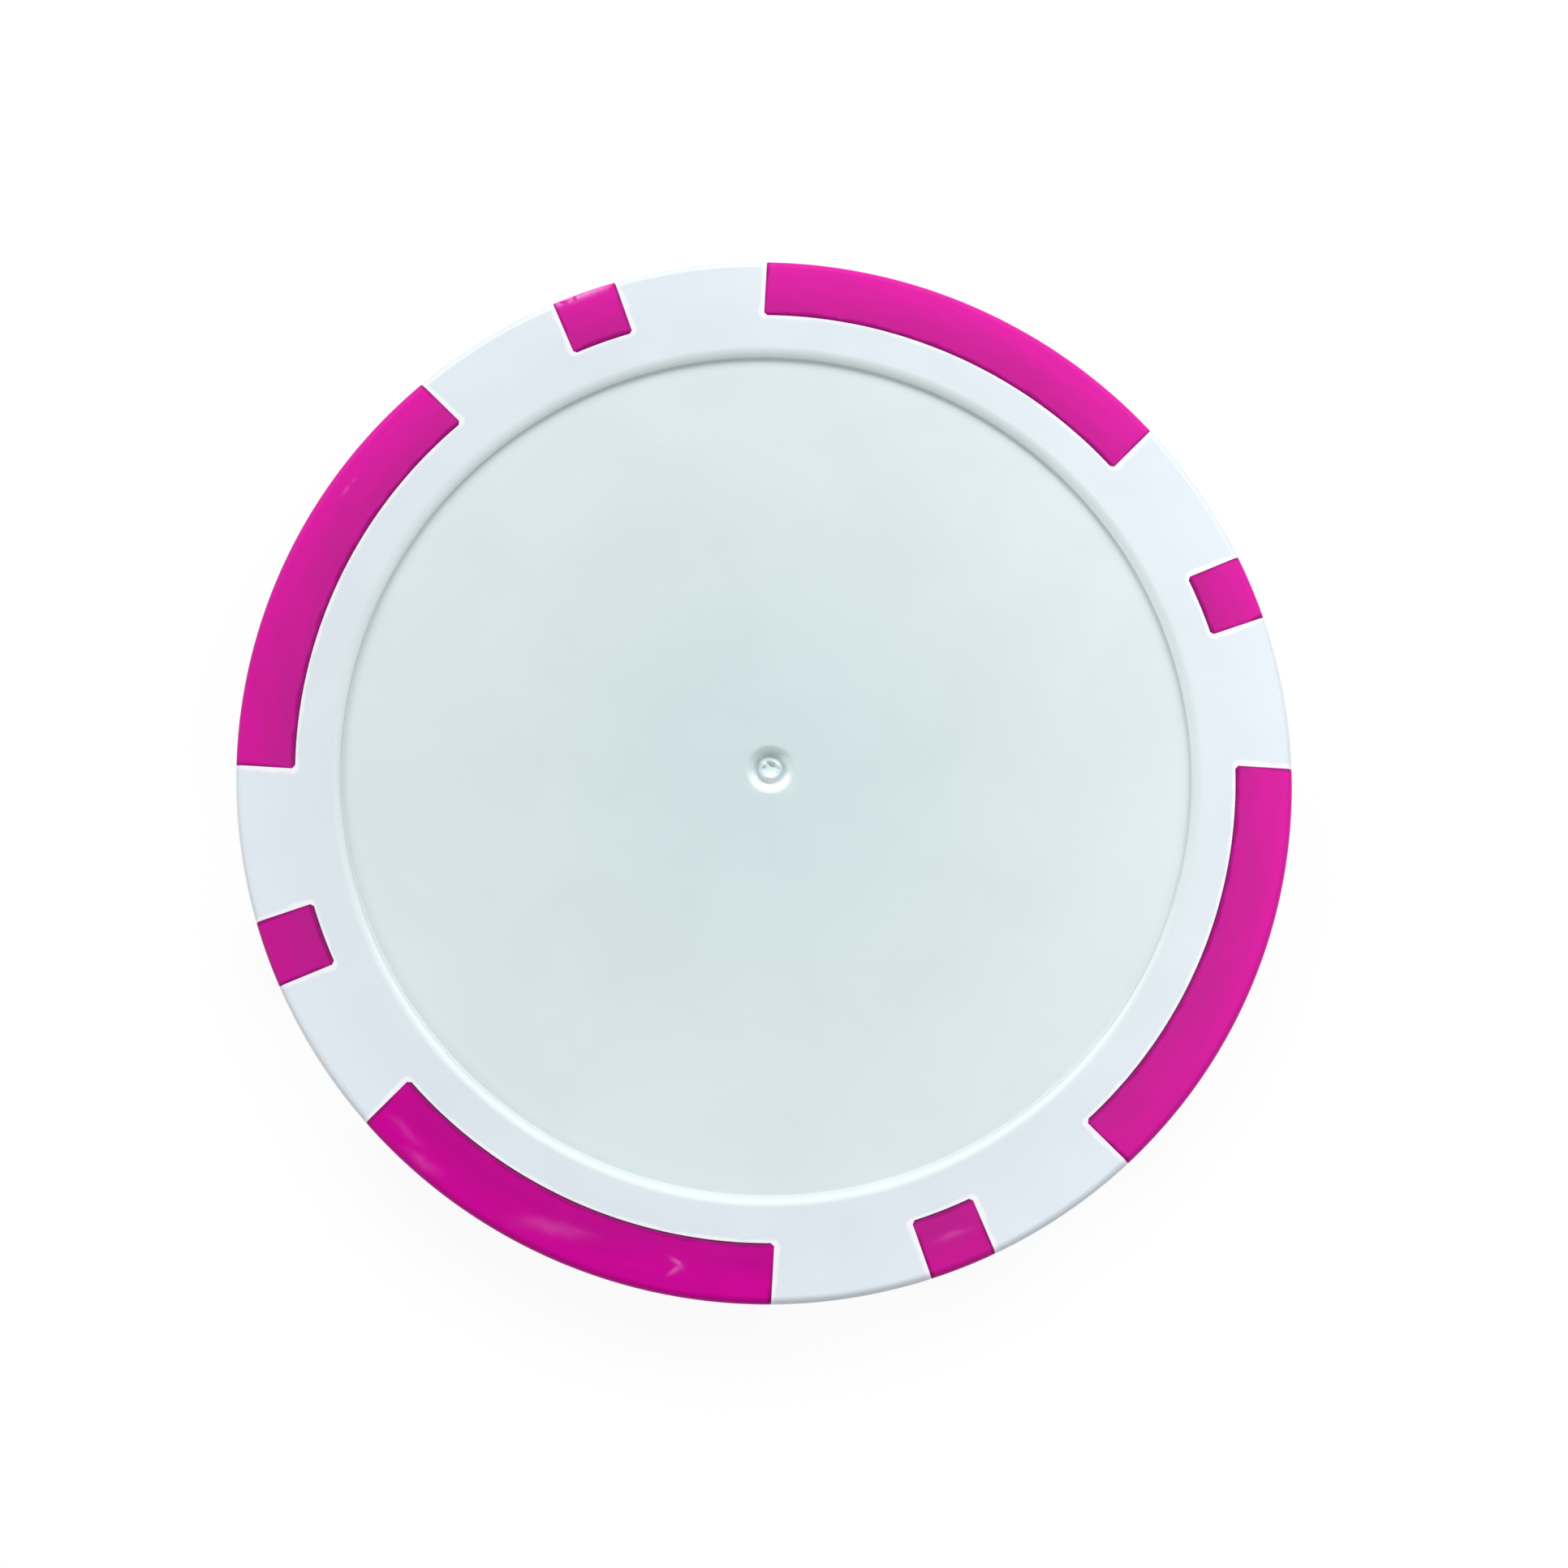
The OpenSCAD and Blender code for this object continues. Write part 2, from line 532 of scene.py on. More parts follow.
@dataclass
class EdgeSpots:
    """All spots of one kind, and the room that they take in the shells."""

    sizes: ChipSizes
    kind: SpotKind
    ease_segments: int = 4
    plan: SpotPlan = field(init=False)

    def __post_init__(self) -> None:
        """Works out the plan that all spots of this kind share."""
        self.plan = SpotPlan.of_kind(self.kind, self.sizes)

    def turn(self, index: int) -> Matrix:
        """The turn that takes a spot from +X to its place, counted from 1."""
        step = 2 * math.pi / self.sizes.spot_sets
        return Matrix.Rotation((index - 1 + self.kind.value) * step, 4, "Z")

    def body_block(self) -> SpotBlock:
        """The spot's own block, of the chip's full thickness."""
        sizes = self.sizes
        return SpotBlock(
            self.plan, inner=sizes.spot_radius, outer=sizes.radius, low=0.0, high=sizes.thickness,
            corner=sizes.spot_corner, edge_round=sizes.edge_round,
        )

    def flange_block(self, fit: float) -> SpotBlock:
        """The locking flange, or with a clearance the room that it takes.

        Args:
            fit: the clearance.

        Returns:
            The block.
        """
        sizes = self.sizes
        half = sizes.flange_thickness / 2 + fit
        return SpotBlock(
            self.plan, inner=sizes.spot_radius, outer=sizes.radius - sizes.flange_cover + fit,
            low=sizes.middle - half, high=sizes.middle + half, corner=sizes.spot_corner,
            grow=sizes.flange_width + fit,
        )

    def pocket_block(self) -> SpotBlock:
        """The room that the spot takes, open past the rim and flared a little at both faces.

        Returns:
            The block.
        """
        sizes = self.sizes
        beyond = 1.0
        return SpotBlock(
            self.plan, inner=sizes.spot_radius, outer=sizes.radius + beyond, low=-beyond,
            high=sizes.thickness + beyond, corner=sizes.spot_corner, grow=sizes.spot_fit,
            flare_heights=(0.0, sizes.thickness), flare=sizes.pocket_flare,
        )

    def all_round(self, block: SpotBlock) -> bmesh.types.BMesh:
        """A block repeated at every spot of this kind.

        Args:
            block: the block on +X.

        Returns:
            One bmesh of all of them.
        """
        ring = bmesh.new()
        for index in range(1, self.sizes.spot_sets + 1):
            solid = block.build()
            bmesh.ops.transform(solid, matrix=self.turn(index), verts=solid.verts)
            copy = bpy.data.meshes.new("copy")
            solid.to_mesh(copy)
            solid.free()
            ring.from_mesh(copy)
            bpy.data.meshes.remove(copy)
        return ring

    def build(self, index: int) -> bpy.types.Object:
        """Builds one spot in its place.

        Args:
            index: its number, from 1.

        Returns:
            The piece.
        """
        solid = self.body_block().build()
        sharp = [edge for edge in solid.edges if edge.calc_face_angle(0.0) > SHARP_ANGLE]
        bmesh.ops.bevel(
            solid, geom=sharp, offset=self.sizes.spot_ease, affect="EDGES",
            segments=self.ease_segments, profile=0.5, material=-1, clamp_overlap=True,
        )
        bmesh.ops.transform(solid, matrix=self.turn(index), verts=solid.verts)
        flange = self.flange_block(0.0).build()
        bmesh.ops.transform(flange, matrix=self.turn(index), verts=flange.verts)
        kind = self.kind.name.lower()
        piece = finished_piece(f"{kind}_spot_moulding_{index}", met_solids(solid, [(Meeting.ADD, flange)]))
        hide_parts(f"{kind}_edge_spot_{index}")
        return piece

    def dress(self, piece: bpy.types.Object, finish: bpy.types.Material) -> None:
        """Gives a spot its plastic.

        Args:
            piece: the spot.
            finish: the plastic.
        """
        coat(piece, finish)


class Corner(NamedTuple):
    """A corner of the shell's half section, in millimetres.

    Attributes:
        radius: its distance from the chip's axis.
        height: its height.
        rounding: how far it is rounded, or 0 where it stays sharp.
        segments: how many steps the rounding has.
    """

    radius: float
    height: float
    rounding: float = 0.0
    segments: int = 4


@dataclass
class Shell:
    """One white half of the chip, modelled face up and turned over for the back."""

    sizes: ChipSizes
    face: Face
    gate: Gate = field(default_factory=Gate)
    turn_steps: int = 480
    shoulder_steps: int = 14
    peg_segments: int = 64

    def land_outline(self) -> list[Corner]:
        """Corners of the groove in the front shell's land, or of the tongue on the back shell's.

        Returns:
            The corners, from the outer one inwards.
        """
        sizes = self.sizes
        half = sizes.tongue_width / 2
        level = sizes.middle - sizes.tongue_height
        if self.face is Face.FRONT:
            half += sizes.tongue_fit
            level = sizes.middle + sizes.tongue_height + sizes.tongue_fit
        outer = sizes.tongue_radius + half
        inner = sizes.tongue_radius - half
        return [
            Corner(outer, sizes.middle),
            Corner(outer, level),
            Corner(inner, level),
            Corner(inner, sizes.middle),
        ]

    def shoulder_outline(self) -> list[Corner]:
        """Corners of the rounded shoulder between the recess wall and the rim.

        Returns:
            The corners, from the top of the wall out to the rim.
        """
        sizes = self.sizes
        width = sizes.lip_width
        radius = (width**2 + sizes.lip_drop**2) / (2 * sizes.lip_drop)
        steepest = math.asin(width / radius)
        end = sizes.recess_radius + width
        drop = sizes.thickness - radius
        corners = []
        for step in range(self.shoulder_steps + 1):
            slope = steepest * (1 - step / self.shoulder_steps)
            ease = 0.0 if step else sizes.lip_ease
            corners.append(Corner(end - radius * math.sin(slope), drop + radius * math.cos(slope), ease))
        return corners

    def section(self) -> bmesh.types.BMesh:
        """Draws the half section, from the gate's middle round to the middle of the roof.

        Returns:
            The open outline, with its corners rounded.
        """
        sizes = self.sizes
        gate = self.gate
        gate_floor = sizes.floor_height - gate.depth
        stub_top = sizes.floor_height - gate.stub_drop
        throat_height = sizes.floor_height - gate.throat_depth
        outline = [
            Corner(0.0, stub_top),
            Corner(gate.stub_radius, stub_top, gate.stub_round, segments=6),
            Corner(gate.stub_radius, gate_floor),
            Corner(gate.bottom_radius, gate_floor),
            Corner(gate.throat_radius, throat_height, gate.dimple_round, segments=5),
            Corner(gate.dimple_radius, sizes.floor_height, gate.dimple_round, segments=5),
            Corner(sizes.recess_radius, sizes.floor_height, sizes.corner_fillet),
            *self.shoulder_outline(),
            Corner(sizes.radius, sizes.thickness, sizes.edge_round, segments=12),
            Corner(sizes.radius, sizes.middle, sizes.seam_chamfer, segments=2),
            *self.land_outline(),
            Corner(sizes.land_radius, sizes.middle),
            Corner(sizes.land_radius, sizes.roof_height),
            Corner(0.0, sizes.roof_height),
        ]
        solid = bmesh.new()
        verts = [solid.verts.new((corner.radius, 0.0, corner.height)) for corner in outline]
        solid.faces.new(verts)
        for vert, corner in zip(verts, outline):
            if corner.rounding:
                bmesh.ops.bevel(
                    solid, geom=[vert], offset=corner.rounding, affect="VERTICES",
                    segments=corner.segments, profile=0.5, material=-1,
                )
        bmesh.ops.delete(solid, geom=solid.faces[:], context="FACES_ONLY")
        axis = [edge for edge in solid.edges if all(vert.co.x < TINY for vert in edge.verts)]
        bmesh.ops.delete(solid, geom=axis, context="EDGES")
        top = max((vert for vert in solid.verts if vert.co.x < TINY), key=lambda vert: vert.co.z)
        bmesh.ops.subdivide_edges(solid, edges=top.link_edges[:], cuts=gate.stub_rings)
        return solid

    def turned_half(self) -> bmesh.types.BMesh:
        """Turns the section into the plain half shell, with the broken top of its gate.

        Returns:
            The closed half shell, face up.
        """
        sizes = self.sizes
        reach = 2 * self.gate.dimple_radius
        solid = self.section()
        bmesh.ops.spin(
            solid, geom=[*solid.verts, *solid.edges], cent=(0, 0, 0), axis=(0, 0, 1),
            angle=2 * math.pi, steps=self.turn_steps, use_merge=True,
        )
        bmesh.ops.remove_doubles(solid, verts=solid.verts, dist=TINY)
        bmesh.ops.recalc_face_normals(solid, faces=solid.faces)
        shift = Vector((*self.gate.off_centre, 0.0))
        above = [vert for vert in solid.verts if vert.co.z > sizes.roof_height + TINY]
        for vert in above:
            away = vert.co.xy.length
            if away < self.gate.stub_radius:
                vert.co.z += self.gate.relief(vert.co.x, vert.co.y)
            if away < reach:
                vert.co += shift
        inner = [edge for edge in solid.edges if edge.verts[0].co.xy.length > sizes.land_radius]
        flat = [edge for edge in inner if edge.is_manifold and edge.calc_face_angle() < TINY]
        bmesh.ops.dissolve_limit(solid, angle_limit=FLAT_ANGLE, verts=[], edges=flat)
        return solid

    def pegs(self, radius: float, low: float, high: float) -> bmesh.types.BMesh:
        """Upright pegs at the places of the locating pins.

        Args:
            radius: radius of a peg.
            low: height of its lower end.
            high: height of its upper end.

        Returns:
            One bmesh of all of them.
        """
        ring = bmesh.new()
        for index in range(self.sizes.pin_count):
            turn = Matrix.Rotation((index + 0.5) * 2 * math.pi / self.sizes.pin_count, 4, "Z")
            place = turn @ Matrix.Translation((self.sizes.pin_circle, 0.0, (low + high) / 2))
            bmesh.ops.create_cone(
                ring, cap_ends=True, segments=self.peg_segments, radius1=radius, radius2=radius,
                depth=high - low, matrix=place,
            )
        return ring

    def inner_features(self) -> list[tuple[Meeting, bmesh.types.BMesh]]:
        """The front shell's pins, or the back shell's sockets, face up.

        Returns:
            How each of them meets the shell.
        """
        sizes = self.sizes
        root = sizes.roof_height + sizes.web / 2
        pin = sizes.pin_diameter / 2
        pin_reach = sizes.slug_low + sizes.socket_floor
        if self.face is Face.FRONT:
            play = sizes.roof_height - sizes.slug_high
            return [(Meeting.ADD, self.pegs(pin, pin_reach + play, root))]
        bore = pin + sizes.pin_fit
        socket_end = sizes.thickness - sizes.slug_high
        bore_end = sizes.thickness - pin_reach
        return [
            (Meeting.ADD, self.pegs(bore + sizes.socket_wall, socket_end, root)),
            (Meeting.CUT, self.pegs(bore, socket_end - sizes.web, bore_end)),
        ]

    def build(self, spots: list[EdgeSpots]) -> bpy.types.Object:
        """Builds the shell with the room for its spots.

        Args:
            spots: both kinds of spot.

        Returns:
            The piece.
        """
        meetings = self.inner_features()
        for kind in spots:
            meetings.append((Meeting.CUT, kind.all_round(kind.pocket_block())))
            meetings.append((Meeting.CUT, kind.all_round(kind.flange_block(self.sizes.spot_fit))))
        mesh = met_solids(self.turned_half(), meetings)
        if self.face is Face.BACK:
            mesh.transform(Matrix.Translation((0, 0, self.sizes.thickness)) @ Matrix.Scale(-1, 4, (0, 0, 1)))
            mesh.flip_normals()
        side = self.face.name.lower()
        piece = finished_piece(f"{side}_shell_moulding", mesh)
        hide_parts(f"{side}_shell")
        return piece

    def dress(self, piece: bpy.types.Object, finish: bpy.types.Material) -> None:
        """Gives the shell its plastic.

        Args:
            piece: the shell.
            finish: the plastic.
        """
        coat(piece, finish)


class Sketch:
    """Adds and links the nodes of one node tree."""

    def __init__(self, tree: bpy.types.NodeTree) -> None:
        """Takes the tree that the nodes go into."""
        self.tree = tree

    def add(self, kind: str, **settings: object) -> bpy.types.Node:
        """Adds a node and sets its own options.

        Args:
            kind: the node's type, without the ShaderNode that all share.
            **settings: options of the node.

        Returns:
            The node.
        """
        node = self.tree.nodes.new("ShaderNode" + kind)
        for name, setting in settings.items():
            setattr(node, name, setting)
        return node

    def feed(self, socket: bpy.types.NodeSocket, value: Value | Colour | None) -> None:
        """Links a socket to another one, or sets it, or leaves it when there is no value.

        Args:
            socket: the socket.
            value: the other socket, or what is set.
        """
        if isinstance(value, bpy.types.NodeSocket):
            self.tree.links.new(value, socket)
        elif value is not None:
            socket.default_value = value

    def math(
        self, operation: str, first: Value, second: Value = 0.0, clamp: bool = False
    ) -> bpy.types.NodeSocket:
        """One sum on values.

        Args:
            operation: Blender's name of it.
            first: the first value.
            second: the second value, for a sum that has one.
            clamp: whether the result is kept from 0 to 1.

        Returns:
            The result.
        """
        node = self.add("Math", operation=operation, use_clamp=clamp)
        self.feed(node.inputs[0], first)
        self.feed(node.inputs[1], second)
        return node.outputs[0]

    def band(
        self, value: Value, start: float, end: float, low: float = 0.0, high: float = 1.0
    ) -> bpy.types.NodeSocket:
        """A smooth step from one value to another.

        Args:
            value: what is measured.
            start: where the step starts.
            end: where it ends.
            low: the result before it.
            high: the result after it.

        Returns:
            The result.
        """
        node = self.add("MapRange", interpolation_type="SMOOTHSTEP")
        for name, number in (("From Min", start), ("From Max", end), ("To Min", low), ("To Max", high)):
            node.inputs[name].default_value = number
        self.feed(node.inputs["Value"], value)
        return node.outputs["Result"]

    def noise(
        self, vector: bpy.types.NodeSocket, scale: float, detail: float = 2.0, warp: float = 0.0
    ) -> bpy.types.NodeSocket:
        """Even noise from 0 to 1.

        Args:
            vector: the point that it is read at.
            scale: how many spots of it fit in one unit.
            detail: how many finer layers it has.
            warp: how much it is stirred.

        Returns:
            The noise.
        """
        node = self.add("TexNoise")
        for name, number in (("Scale", scale), ("Detail", detail), ("Distortion", warp)):
            node.inputs[name].default_value = number
        self.feed(node.inputs["Vector"], vector)
        return node.outputs["Fac"]

    def mix(
        self, share: Value, first: Value | Colour, second: Value | Colour, blend: str = "MIX"
    ) -> bpy.types.NodeSocket:
        """A colour between two others.

        Args:
            share: how much of the second one there is.
            first: the first colour.
            second: the second colour.
            blend: Blender's name of the way that they mix.

        Returns:
            The colour.
        """
        node = self.add("Mix", data_type="RGBA", blend_type=blend)
        ends = [socket for socket in node.inputs if socket.type == "RGBA"]
        self.feed(node.inputs[0], share)
        for socket, colour in zip(ends, (first, second)):
            self.feed(socket, (*colour, 1.0) if isinstance(colour, tuple) else colour)
        return next(socket for socket in node.outputs if socket.type == "RGBA")

    def point(self, x: Value, y: Value, z: Value) -> bpy.types.NodeSocket:
        """A vector made of three values.

        Args:
            x: the first value.
            y: the second value.
            z: the third value.

        Returns:
            The vector.
        """
        node = self.add("CombineXYZ")
        for socket, value in zip(node.inputs, (x, y, z)):
            self.feed(socket, value)
        return node.outputs[0]

    def stirred(self, point: bpy.types.NodeSocket, scale: float, reach: float) -> bpy.types.NodeSocket:
        """Shifts a point by slow noise, so that what is drawn at it gets an uneven outline.

        Args:
            point: the point, in metres.
            scale: how many waves of the noise fit in one metre.
            reach: how far it may shift, in millimetres.

        Returns:
            The shifted point.
        """
        noise = self.add("TexNoise")
        noise.inputs["Scale"].default_value = scale
        self.feed(noise.inputs["Vector"], point)
        centred = self.add("VectorMath", operation="SUBTRACT")
        centred.inputs[1].default_value = (0.5, 0.5, 0.5)
        self.feed(centred.inputs[0], noise.outputs["Color"])
        shift = self.add("VectorMath", operation="SCALE")
        shift.inputs["Scale"].default_value = 2 * reach * MM
        self.feed(shift.inputs[0], centred.outputs[0])
        moved = self.add("VectorMath", operation="ADD")
        self.feed(moved.inputs[0], point)
        self.feed(moved.inputs[1], shift.outputs[0])
        return moved.outputs[0]

    def shaded(self, colour: bpy.types.NodeSocket, shade: bpy.types.NodeSocket) -> bpy.types.NodeSocket:
        """A colour made lighter or darker by a factor."""
        return self.mix(1.0, colour, self.point(shade, shade, shade), "MULTIPLY")

    def mark(self, point: bpy.types.NodeSocket, colour_mark: ColourMark, height: float) -> bpy.types.NodeSocket:
        """How strongly one colour mark covers a point.

        Args:
            point: the point, in metres.
            colour_mark: the mark.
            height: height of the face that it lies on, in millimetres.

        Returns:
            Its strength there.
        """
        local = self.add("Mapping", vector_type="TEXTURE")
        local.inputs["Location"].default_value = MM * Vector((*colour_mark.place, height))
        local.inputs["Rotation"].default_value = (0.0, 0.0, math.radians(colour_mark.turn))
        local.inputs["Scale"].default_value = MM * Vector((colour_mark.length, colour_mark.width, colour_mark.depth))
        self.feed(local.inputs["Vector"], point)
        away = self.add("VectorMath", operation="LENGTH")
        self.feed(away.inputs[0], local.outputs[0])
        square = self.math("MULTIPLY", away.outputs["Value"], away.outputs["Value"])
        fade = self.math("EXPONENT", self.math("MULTIPLY", square, -1.0))
        return self.math("MULTIPLY", fade, colour_mark.strength)

    def marks(self, point: bpy.types.NodeSocket, colour_marks: tuple[ColourMark, ...], height: float) -> Value:
        """How strongly the strongest of several colour marks covers a point.

        Args:
            point: the point, in metres.
            colour_marks: the marks.
            height: height of the face that they lie on, in millimetres.

        Returns:
            Its strength there.
        """
        strongest: Value = 0.0
        for colour_mark in colour_marks:
            strongest = self.math("MAXIMUM", strongest, self.mark(point, colour_mark, height))
        return strongest

    def place(self, group: bpy.types.NodeTree, **inputs: Value) -> bpy.types.Node:
        """Places a node group.

        Args:
            group: the group's tree.
            **inputs: values of its inputs, by name, with _ for a space.

        Returns:
            The group's node.
        """
        node = self.add("Group", node_tree=group)
        for name, value in inputs.items():
            self.feed(node.inputs[name.replace("_", " ")], value)
        return node


class EffectGroup:
    """A shader node group with named inputs and outputs, filled in by its subclasses."""

    name = ""
    vectors: tuple[str, ...] = ()
    values: tuple[str, ...] = ()
    results: tuple[str, ...] = ()

    def __init__(self) -> None:
        """Makes the group's sockets and its nodes."""
        self.tree = bpy.data.node_groups.new(self.name, "ShaderNodeTree")
        sockets = self.tree.interface
        for title in self.vectors:
            sockets.new_socket(title, in_out="INPUT", socket_type="NodeSocketVector")
        for title in self.values:
            sockets.new_socket(title, in_out="INPUT", socket_type="NodeSocketFloat")
        for title in self.results:
            sockets.new_socket(title, in_out="OUTPUT", socket_type="NodeSocketFloat")
        sketch = Sketch(self.tree)
        start = self.tree.nodes.new("NodeGroupInput")
        end = self.tree.nodes.new("NodeGroupOutput")
        for title, socket in self.draw(sketch, start).items():
            sketch.feed(end.inputs[title], socket)

    def draw(self, sketch: Sketch, start: bpy.types.Node) -> dict[str, bpy.types.NodeSocket]:
        """Draws the group's nodes.

        Args:
            sketch: what adds them.
            start: the node with the group's inputs.

        Returns:
            The results, by name.
        """
        raise NotImplementedError


class ChipPlace(EffectGroup):
    """Where a point lies on the chip, in millimetres and radians."""

    name = "chip_place"
    vectors = ("Point",)
    results = ("Radius", "Angle", "Height")

    def draw(self, sketch: Sketch, start: bpy.types.Node) -> dict[str, bpy.types.NodeSocket]:
        """Turns the point's metres into radius, angle and height.

        Args:
            sketch: what adds the nodes.
            start: the node with the group's inputs.

        Returns:
            The results, by name.
        """
        scaled = sketch.add("VectorMath", operation="SCALE")
        scaled.inputs["Scale"].default_value = 1 / MM
        sketch.feed(scaled.inputs[0], start.outputs["Point"])
        parts = sketch.add("SeparateXYZ")
        sketch.feed(parts.inputs[0], scaled.outputs[0])
        x, y, z = parts.outputs
        square = sketch.math("ADD", sketch.math("MULTIPLY", x, x), sketch.math("MULTIPLY", y, y))
        return {"Radius": sketch.math("SQRT", square), "Angle": sketch.math("ARCTAN2", y, x), "Height": z}


def rounded_depth(sketch: Sketch, first: Value, second: Value, corner: float) -> bpy.types.NodeSocket:
    """Depth inside two walls that meet in a rounded corner.

    Args:
        sketch: what adds the nodes.
        first: depth inside the first wall.
        second: depth inside the second wall.
        corner: radius of the corner.

    Returns:
        The depth, below zero outside.
    """
    eased = [sketch.math("SUBTRACT", depth, corner) for depth in (first, second)]
    short = [sketch.math("MINIMUM", depth, 0.0) for depth in eased]
    squares = [sketch.math("MULTIPLY", part, part) for part in short]
    away = sketch.math("SQRT", sketch.math("ADD", *squares))
    within = sketch.math("MAXIMUM", sketch.math("MINIMUM", *eased), 0.0)
    return sketch.math("ADD", sketch.math("SUBTRACT", within, away), corner)


class SpotSeam(EffectGroup):
    """How far a point lies inside the outline of the nearest spot, in millimetres, a little uneven."""

    name = "spot_seam"
    vectors = ("Point",)
    values = ("Radius", "Angle")
    results = ("Inside",)
    waves: float = 1400.0
    wave_fade: Pair = (0.3, 0.7)
    unevenness: float = 0.035

    def __init__(self, sizes: ChipSizes) -> None:
        """Keeps the sizes that the spots' outlines follow from, and makes the group."""
        self.sizes = sizes
        super().__init__()

    def depth(self, sketch: Sketch, kind: SpotKind, radius: Value, angle: Value) -> bpy.types.NodeSocket:
        """How far a point lies inside the nearest spot of one kind.

        Args:
            sketch: what adds the nodes.
            kind: the kind of spot.
            radius: the point's radius.
            angle: the point's angle.

        Returns:
            The depth, below zero outside.
        """
        sizes = self.sizes
        plan = SpotPlan.of_kind(kind, sizes)
        wall = plan.middle_radius * heading(plan.half_angle)
        along = heading(plan.wall_heading)
        sector = 2 * math.pi / sizes.spot_sets
        turned = sketch.math("SUBTRACT", angle, (kind.value + 0.5) * sector)
        wrapped = sketch.math("FLOORED_MODULO", turned, sector)
        off_centre = sketch.math("ABSOLUTE", sketch.math("SUBTRACT", wrapped, sector / 2))
        x = sketch.math("MULTIPLY", radius, sketch.math("COSINE", off_centre))
        y = sketch.math("MULTIPLY", radius, sketch.math("SINE", off_centre))
        ahead = sketch.math("MULTIPLY", sketch.math("SUBTRACT", x, wall.x), along.y)
        beside = sketch.math("MULTIPLY", sketch.math("SUBTRACT", y, wall.y), along.x)
        past_end = sketch.math("SUBTRACT", ahead, beside)
        past_inner = sketch.math("SUBTRACT", radius, sizes.spot_radius)
        return rounded_depth(sketch, past_inner, past_end, sizes.spot_corner)

    def draw(self, sketch: Sketch, start: bpy.types.Node) -> dict[str, bpy.types.NodeSocket]:
        """Measures to the nearest spot of each kind and takes the deeper one.

        Args:
            sketch: what adds the nodes.
            start: the node with the group's inputs.

        Returns:
            The results, by name.
        """
        radius = start.outputs["Radius"]
        angle = start.outputs["Angle"]
        depths = [self.depth(sketch, kind, radius, angle) for kind in SpotKind]
        noise = sketch.noise(start.outputs["Point"], self.waves)
        wave = sketch.band(noise, *self.wave_fade, -self.unevenness, self.unevenness)
        return {"Inside": sketch.math("ADD", sketch.math("MAXIMUM", *depths), wave)}


class MouldedSkin(EffectGroup):
    """The skin of glossy moulded plastic: fine orange peel, faint rubs and slow cloudiness."""

    name = "moulded_skin"
    vectors = ("Point",)
    values = ("Rub",)
    results = ("Relief", "Dulling", "Cloud")
    peel_scale: float = 2600.0
    peel_dulling: float = 0.3
    grain_scale: float = 11000.0
    grain_share: float = 0.18
    rub_turn: float = 0.7
    rub_scale: Triple = (380.0, 9000.0, 380.0)
    rub_fade: Pair = (0.6, 0.74)
    fine_detail: float = 3.0
    cloud_scale: float = 240.0
    cloud_warp: float = 0.4

    def draw(self, sketch: Sketch, start: bpy.types.Node) -> dict[str, bpy.types.NodeSocket]:
        """Mixes the layers from fine to slow.

        Args:
            sketch: what adds the nodes.
            start: the node with the group's inputs.

        Returns:
            The results, by name.
        """
        point = start.outputs["Point"]
        peel = sketch.noise(point, self.peel_scale)
        grain = sketch.noise(point, self.grain_scale, self.fine_detail)
        relief = sketch.math("ADD", peel, sketch.math("MULTIPLY", grain, self.grain_share))
        streaked = sketch.add("Mapping")
        streaked.inputs["Rotation"].default_value = (0.0, 0.0, self.rub_turn)
        streaked.inputs["Scale"].default_value = self.rub_scale
        sketch.feed(streaked.inputs["Vector"], point)
        rubs = sketch.band(sketch.noise(streaked.outputs[0], 1.0, self.fine_detail), *self.rub_fade)
        rub = sketch.math("MULTIPLY", rubs, start.outputs["Rub"])
        dulling = sketch.math("ADD", rub, sketch.math("MULTIPLY", peel, self.peel_dulling))
        cloud = sketch.noise(point, self.cloud_scale, warp=self.cloud_warp)
        return {"Relief": relief, "Dulling": dulling, "Cloud": cloud}


@dataclass(frozen=True)
class Effects:
    """The shader groups that the finishes share."""

    place: bpy.types.NodeTree
    seam: bpy.types.NodeTree
    skin: bpy.types.NodeTree

    @classmethod
    def make(cls, sizes: ChipSizes) -> "Effects":
        """Builds each group once."""
        return cls(ChipPlace().tree, SpotSeam(sizes).tree, MouldedSkin().tree)


def new_material(name: str) -> tuple[bpy.types.Material, Sketch, bpy.types.Node]:
    """Starts a material.

    Args:
        name: its name.

    Returns:
        The material, a sketch of its nodes and its shader.
    """
    material = bpy.data.materials.new(name)
    material.use_nodes = True
    sketch = Sketch(material.node_tree)
    shader = material.node_tree.nodes["Principled BSDF"]
    return material, sketch, shader


@dataclass(frozen=True)
class Finish:
    """What every finish has.

    Attributes:
        gloss: the roughness where nothing dulls it.
        dulling: how much rougher it is where it is dulled most.
        relief_depth: height of its relief, in metres.
    """

    gloss: float
    dulling: float
    relief_depth: float

    def surface(
        self, sketch: Sketch, shader: bpy.types.Node, dulled: Value, relief: bpy.types.NodeSocket
    ) -> None:
        """Feeds the roughness and the relief to a shader.

        Args:
            sketch: the material's sketch.
            shader: its shader.
            dulled: how much it is dulled, from 0 to 1.
            relief: heights from 0 to 1.
        """
        dulling = sketch.math("MULTIPLY", dulled, self.dulling)
        sketch.feed(shader.inputs["Roughness"], sketch.math("ADD", dulling, self.gloss))
        bump = sketch.add("Bump")
        bump.inputs["Distance"].default_value = self.relief_depth
        sketch.feed(bump.inputs["Height"], relief)
        sketch.feed(shader.inputs["Normal"], bump.outputs["Normal"])


